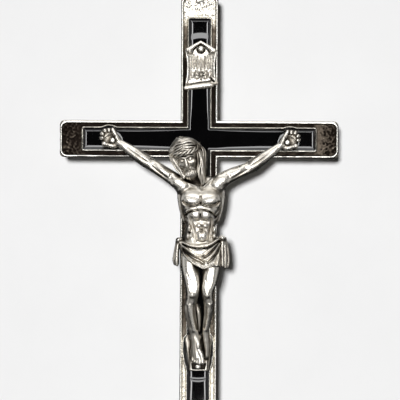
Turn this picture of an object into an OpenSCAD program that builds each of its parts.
// Enamelled metal crucifix: a die-cast Latin cross with a cloisonne pool of black resin,
// a cast figure and a cast scroll riveted through it, and a wire ring for hanging it up.
// Millimetres. +Z is up, the front faces -Y, and the origin is the middle of the crossing
// on the flat back face.

/* [Cross] */
// Height of the cross itself, without eyelet and ring
cross_h = 120; // [118:1:130]
// From the middle of the crossing to the top end
top_h = 33; // [32:0.5:34]
// Width over the two arms
span = 64; // [62:0.5:70]
// Width of both beams
beam_w = 8.5; // [8.3:0.1:9]
// Thickness at the rim
body_t = 3.0; // [2.8:0.1:3.4]
// Radius of the corners at the four ends
corner_r = 1.0; // [0.5:0.1:1.5]

/* [Rim, field and fillet] */
// Width of the outer rim
rim_w = 0.4; // [0.3:0.05:0.45]
// How far the stippled field lies under the rim
field_depth = 0.5; // [0.3:0.05:0.6]
// Width of the thin wall round the resin
fillet_w = 0.35; // [0.25:0.05:0.4]
// How far the top of that wall lies under the rim
fillet_drop = 0.15; // [0.05:0.05:0.25]

/* [Resin pool] */
// Width of the resin in both beams
pool_w = 5.0; // [4.8:0.1:5.2]
// From each outer end to the resin
end_plate = 5.3; // [4.8:0.1:6]
// Depth of the pool's floor under the rim
pool_depth = 1.7; // [1.4:0.1:1.8]

/* [Rivets] */
// Radius of a rivet's shank
shank_r = 0.35; // [0.3:0.01:0.4]
// Radius of a rivet's domed head
head_r = 0.6; // [0.55:0.01:0.7]
// Height of that dome
head_h = 0.42; // [0.35:0.01:0.5]

/* [Eyelet and ring] */
// Radius of the wire
wire_r = 0.5; // [0.4:0.05:0.5]
// Radius of the ring at the middle of its wire
ring_r = 3.9; // [3.9:0.1:4.5]
// Width of the eyelet, from side to side
eyelet_w = 1.6; // [1.4:0.1:1.6]

/* [Hidden] */
$fn = 48;

METAL = [0.74, 0.72, 0.68];
OLD_SILVER = [0.62, 0.60, 0.56];
BLACK = [0.02, 0.02, 0.02];

foot_h = cross_h - top_h;         // from the crossing down to the lower end
rim_y = -body_t;                  // the rim is the foremost face of the body
field_y = rim_y + field_depth;
fillet_y = rim_y + fillet_drop;
pool_y = rim_y + pool_depth;
resin_y = field_y;                // the resin stands level with the stippled field
bevel_r = 0.4;                    // tail of a rivet: extra radius at the back face
bevel_h = 0.5;
tail_in = 0.1;                    // how far a tail stays inside the back face
slip = 0.02;                      // gap between rivet and body
boss_r = 0.9;                     // bosses that the figure and the scroll stand on
overcut = 1;                      // how far a cutter runs past the face that it cuts

// Middles of the four rivets, [x, z]
TITULUS_PIN = [0.3, 20.7];
LEFT_PALM = [-19.8, -0.4];
RIGHT_PALM = [20.2, -0.7];
FOOT_PIN = [0, -52.1];
PINS = [TITULUS_PIN, LEFT_PALM, RIGHT_PALM, FOOT_PIN];

eyelet_r = body_t / 2;            // the eyelet is as deep as the body is thick
eyelet_hole_r = eyelet_r - 0.65;
eyelet_z = top_h + 1.3;
ring_z = eyelet_z + ring_r;
ring_gap_deg = 3;                 // the open joint of the bent wire, at the top

// Carries a flat outline into the XZ plane and thickens it from y = back to y = front.
module slab(back, front) {
    translate([0, back, 0]) rotate([90, 0, 0]) linear_extrude(back - front) children();
}

// A cylinder along Y, from y = back to y = front.
module peg(x, z, r, back, front) {
    translate([x, back, z]) rotate([90, 0, 0]) cylinder(r = r, h = back - front);
}

// A bar of the cross between two corners, with round corners.
module rounded_bar(x0, z0, x1, z1, r) {
    translate([x0 + r, z0]) square([x1 - x0 - 2 * r, z1 - z0]);
    translate([x0, z0 + r]) square([x1 - x0, z1 - z0 - 2 * r]);
    for (x = [x0 + r, x1 - r]) for (z = [z0 + r, z1 - r]) translate([x, z]) circle(r);
}

// The Latin cross, drawn in from its outer edge by `inset`.
module cross_outline(inset) {
    w = beam_w / 2 - inset;
    r = corner_r - inset;
    rounded_bar(-w, -foot_h + inset, w, top_h - inset, r);
    rounded_bar(-span / 2 + inset, -w, span / 2 - inset, w, r);
}

// A widening on top of the arm's pool, which makes room for a hand.
module hand_lobe(x, grow) {
    foot = 2.75 + grow;
    crown = 1.85 + grow / 2;
    top = pool_w / 2 + 0.55 + grow;
    translate([x, 0]) polygon([[foot, 0], [foot, pool_w / 2], [crown, top],
                               [-crown, top], [-foot, pool_w / 2], [-foot, 0]]);
}

// The shield-shaped widening round the foot rest.
module foot_lobe(grow) {
    w = pool_w / 2 + grow;
    out = 3.4 + grow;
    polygon([[w, -44.2 + grow], [-w, -44.2 + grow], [-out, -45.3 + grow], [-out, -50.2 - grow / 2],
             [-w, -53.3 - grow], [w, -53.3 - grow], [out, -50.2 - grow / 2], [out, -45.3 + grow]]);
}

// The outline of the resin, or with `grow` that of the wall round it.
module pool_outline(grow = 0) {
    w = pool_w / 2 + grow;
    low = -foot_h + end_plate - grow;
    translate([-w, low]) square([2 * w, cross_h - 2 * end_plate + 2 * grow]);
    reach = span / 2 - end_plate + grow;
    translate([-reach, -w]) square([2 * reach, 2 * w]);
    hand_lobe(LEFT_PALM[0] - 0.8, grow);
    hand_lobe(RIGHT_PALM[0] + 0.8, grow);
    foot_lobe(grow);
}

module eyelet() {
    translate([-eyelet_w / 2, -body_t, top_h - 0.3]) cube([eyelet_w, body_t, eyelet_z - top_h + 0.3]);
    translate([-eyelet_w / 2, -body_t / 2, eyelet_z]) rotate([0, 90, 0])
        cylinder(r = eyelet_r, h = eyelet_w);
}

module cross_body() color(METAL) difference() {
    union() {
        difference() {
            slab(0, rim_y) cross_outline(0);
            slab(field_y, rim_y - overcut) difference() {
                cross_outline(rim_w);
                pool_outline(fillet_w);
            }
            slab(fillet_y, rim_y - overcut) intersection() {
                cross_outline(rim_w);
                pool_outline(fillet_w);
            }
            slab(pool_y, rim_y - overcut) pool_outline();
        }
        for (p = PINS) peg(p[0], p[1], boss_r, pool_y + slip, resin_y);
        eyelet();
    }
    for (p = PINS) rivet_hole(p);
    translate([-eyelet_w, -body_t / 2, eyelet_z]) rotate([0, 90, 0])
        cylinder(r = eyelet_hole_r, h = 2 * eyelet_w);
}

// The through hole of a rivet with its countersink in the back face.
module rivet_hole(p) {
    peg(p[0], p[1], shank_r + slip, overcut, rim_y - overcut);
    translate([p[0], overcut, p[1]]) rotate([90, 0, 0])
        cylinder(r = shank_r + bevel_r + slip, h = overcut + tail_in);
    translate([p[0], -tail_in, p[1]]) rotate([90, 0, 0])
        cylinder(r1 = shank_r + bevel_r + slip, r2 = shank_r + slip, h = bevel_h);
}

module enamel_inlay() color(BLACK) difference() {
    slab(pool_y, resin_y) pool_outline();
    for (p = PINS) peg(p[0], p[1], boss_r, overcut, rim_y - overcut);
}

// One rivet: domed head in front of y = seat, shank, and peened tail in the countersink.
module rivet(p, seat) color(OLD_SILVER) {
    dome_r = (head_r * head_r + head_h * head_h) / (2 * head_h);
    intersection() {
        translate([p[0], seat - head_h + dome_r, p[1]]) sphere(dome_r);
        peg(p[0], p[1], head_r + slip, seat, seat - head_h - overcut);
    }
    peg(p[0], p[1], shank_r, -tail_in, seat - head_h / 2);
    translate([p[0], -tail_in, p[1]]) rotate([90, 0, 0])
        cylinder(r1 = shank_r + bevel_r, r2 = shank_r, h = bevel_h);
}

/* Scroll over the figure */
titulus_back = rim_y - slip;
titulus_front = titulus_back - 0.9;
roll_r = 0.42;

// The parchment: upright sides drawn in by two large circles, and a slanting lower edge.
module titulus_outline() {
    difference() {
        polygon([[-3.4, 11.6], [4.0, 12.5], [4.0, 20.6], [0.2, 22.6], [-3.4, 20.7]]);
        translate([-17.5, 16.2]) circle(14.8, $fn = 96);
        translate([18.2, 16.6]) circle(14.8, $fn = 96);
    }
}

// A rolled edge of the parchment from one point to another.
module roll(x0, z0, x1, z1) {
    len = norm([x1 - x0, z1 - z0]);
    translate([x0, titulus_front + 0.1, z0]) rotate([0, atan2(x1 - x0, z1 - z0), 0])
        cylinder(r = roll_r, h = len);
}

module titulus() color(OLD_SILVER) difference() {
    union() {
        slab(titulus_back, titulus_front) titulus_outline();
        roll(-3.4, 20.6, 0.2, 22.4);
        roll(4.0, 20.5, 0.2, 22.4);
        roll(-3.3, 11.8, 3.5, 12.6);
        peg(TITULUS_PIN[0], TITULUS_PIN[1], boss_r, resin_y, titulus_front);
    }
    peg(TITULUS_PIN[0], TITULUS_PIN[1], shank_r + slip, overcut, titulus_front - overcut);
}

/* Figure. A limb is a chain of balls, each [x, y, z, radius]. */
LEFT_ARM = [[-18.2, -4.1, -1.0, 0.9], [-15.4, -4.5, -3.2, 1.15], [-12.3, -4.7, -5.4, 1.2],
            [-8.0, -5.2, -7.9, 1.35], [-3.0, -5.7, -10.9, 1.9]];
RIGHT_ARM = [[18.1, -4.1, -1.9, 0.9], [14.8, -4.5, -4.2, 1.15], [11.5, -4.7, -6.4, 1.2],
             [8.2, -5.0, -7.9, 1.35], [3.4, -5.7, -10.6, 1.9]];
LEFT_LEG = [[-2.2, -5.7, -25.5, 2.2], [-2.1, -6.8, -30.2, 2.1], [-1.4, -8.0, -35.0, 1.6],
            [-1.5, -6.9, -39.5, 1.4], [-0.4, -5.6, -45.2, 0.95]];
RIGHT_LEG = [[2.9, -5.7, -25.3, 2.2], [2.9, -6.8, -30.2, 2.1], [2.1, -8.0, -35.0, 1.6],
             [2.2, -6.7, -40.0, 1.3], [1.5, -5.4, -45.3, 0.9]];
FRONT_FOOT = [[-0.4, -5.8, -45.4, 0.95], [-0.1, -6.1, -47.6, 1.05], [0.1, -5.5, -50.0, 0.8]];
REAR_FOOT = [[1.5, -5.4, -45.4, 0.9], [1.6, -5.0, -49.4, 0.8]];
corpus_back = rim_y - 0.15;       // the figure stands clear of the rim
palm_front = -4.2;
foot_front = -4.7;
foot_rest_front = -4.1;
coarse = 12;                      // facets round a limb

module ball(p) {
    translate([p[0], p[1], p[2]]) sphere(p[3], $fn = coarse);
}

module limb(chain) {
    for (i = [1 : len(chain) - 1]) hull() {
        ball(chain[i - 1]);
        ball(chain[i]);
    }
}

module egg(at, radii) {
    translate(at) scale(radii) sphere(1, $fn = 20);
}

module trunk() {
    chest = [0.3, -5.9, -12.6];
    waist = [0.6, -5.6, -19.6];
    hips = [0.4, -5.6, -24.2];
    hull() {
        egg(chest, [4.6, 2.6, 3.4]);
        egg(waist, [3.6, 2.1, 1.8]);
    }
    hull() {
        egg(waist, [3.6, 2.1, 1.8]);
        egg(hips, [4.5, 2.5, 2.2]);
    }
}

module head() {
    neck = [-0.3, -6.2, -10.0, 1.8];
    hull() {
        ball(neck);
        ball([-1.8, -7.2, -6.8, 1.7]);
    }
    translate([-2.7, -7.3, -4.0]) rotate([-12, -21, 0]) {
        egg([0, 0.3, 0.6], [3.5, 3.5, 3.6]);
        egg([0, -1.2, -1.8], [2.2, 2.2, 3.0]);
        rotate([8, 0, 0]) rotate_extrude($fn = 28) translate([3.5, 1.2]) circle(0.55, $fn = 12);
    }
    limb([[1.0, -6.4, -3.6, 1.2], [1.2, -6.4, -6.8, 1.2], [0.8, -6.6, -8.8, 0.9]]);
    limb([[-5.4, -6.2, -4.0, 1.1], [-4.3, -6.4, -7.0, 0.9], [-3.4, -6.9, -9.2, 0.7]]);
}

// A hand on its rivet, fingers up and outward. `side` is -1 for the left one.
module hand(palm, side) {
    // Each finger: bend and tip, as offsets from the middle of the palm
    fingers = [[-0.5, 1.2, -0.4, 2.2], [-1.3, 1.3, -1.8, 2.1], [-1.7, 0.8, -2.6, 1.3], [-1.7, 0.1, -2.9, 0.2]];
    translate([palm[0], 0, palm[1]]) scale([-side, 1, 1]) {
        hull() {
            ball([-0.9, -3.5, 0.9, 0.75]);
            ball([0.5, -3.4, 0.7, 0.75]);
            ball([-0.6, -3.4, -0.6, 0.75]);
            ball([0.7, -3.5, -0.5, 0.75]);
        }
        for (f = fingers) limb([[f[0], -3.5, f[1], 0.42], [f[2], -4.0, f[3], 0.38]]);
        limb([[0.7, -3.7, 0.0, 0.55], [0.5, -4.1, 1.6, 0.42], [-0.1, -4.2, 2.4, 0.36]]);
    }
}

module loincloth() {
    left_knot = [-4.6, -5.4, -23.0, 0.75];
    right_knot = [5.2, -5.4, -22.4, 0.8];
    hull() {
        egg([0.4, -5.7, -23.8], [4.7, 2.8, 1.0]);
        egg([0.4, -6.0, -26.8], [4.7, 2.9, 1.2]);
    }
    hull() {
        ball([-2.6, -7.0, -27.4, 1.8]);
        ball([3.2, -7.0, -27.6, 1.8]);
        ball([1.0, -7.4, -28.6, 0.9]);
    }
    limb([left_knot, [-5.2, -5.0, -25.8, 0.65], [-5.5, -4.9, -28.4, 0.75]]);
    limb([right_knot, [6.0, -5.0, -25.8, 0.8], [6.2, -4.9, -28.4, 0.95]]);
}

module foot_rest() {
    slab(resin_y, foot_rest_front)
        polygon([[-1.9, -53.0], [2.1, -53.0], [3.1, -46.2], [-2.9, -46.2]]);
    slab(resin_y, foot_front) polygon([[-1.7, -52.9], [1.8, -52.9], [1.9, -51.2], [-1.7, -51.2]]);
}

module feet() {
    limb(FRONT_FOOT);
    limb(REAR_FOOT);
    for (i = [0 : 4]) limb([[-1.0 + 0.5 * i, -5.1, -50.2, 0.36], [-1.2 + 0.62 * i, -4.9, -51.0 + 0.05 * i, 0.33]]);
}

module corpus() color(OLD_SILVER) difference() {
    union() {
        intersection() {
            union() {
                trunk();
                head();
                limb(LEFT_ARM);
                limb(RIGHT_ARM);
                limb(LEFT_LEG);
                limb(RIGHT_LEG);
                loincloth();
                feet();
                limb([[-18.2, -4.1, -1.0, 0.9], [-19.6, -3.9, -0.4, 0.7]]);
                limb([[18.1, -4.1, -1.9, 0.9], [20.0, -3.9, -0.6, 0.7]]);
            }
            translate([-30, -20, -60]) cube([60, 20 + corpus_back, 70]);
        }
        intersection() {
            union() {
                hand(LEFT_PALM, -1);
                hand(RIGHT_PALM, 1);
            }
            translate([-30, -20, -10]) cube([60, 20 + resin_y, 20]);
        }
        for (p = [LEFT_PALM, RIGHT_PALM]) peg(p[0], p[1], boss_r, resin_y, palm_front);
        foot_rest();
    }
    for (p = [LEFT_PALM, RIGHT_PALM]) {
        peg(p[0], p[1], shank_r + 0.06, overcut, -10);
        peg(p[0], p[1], head_r + 0.15, palm_front, -10);
    }
    peg(FOOT_PIN[0], FOOT_PIN[1], shank_r + 0.06, overcut, -10);
}

module hanging_ring() color(METAL)
    translate([0, -body_t / 2, ring_z]) rotate([90, 0, 0])
        rotate([0, 0, 90 + ring_gap_deg / 2])
            rotate_extrude(angle = 360 - ring_gap_deg) translate([ring_r, 0]) circle(wire_r);

cross_body();
enamel_inlay();
corpus();
titulus();
rivet(TITULUS_PIN, titulus_front);  // titulus_rivet
rivet(LEFT_PALM, palm_front);  // left_hand_rivet
rivet(RIGHT_PALM, palm_front);  // right_hand_rivet
rivet(FOOT_PIN, foot_front);  // foot_rivet
hanging_ring();
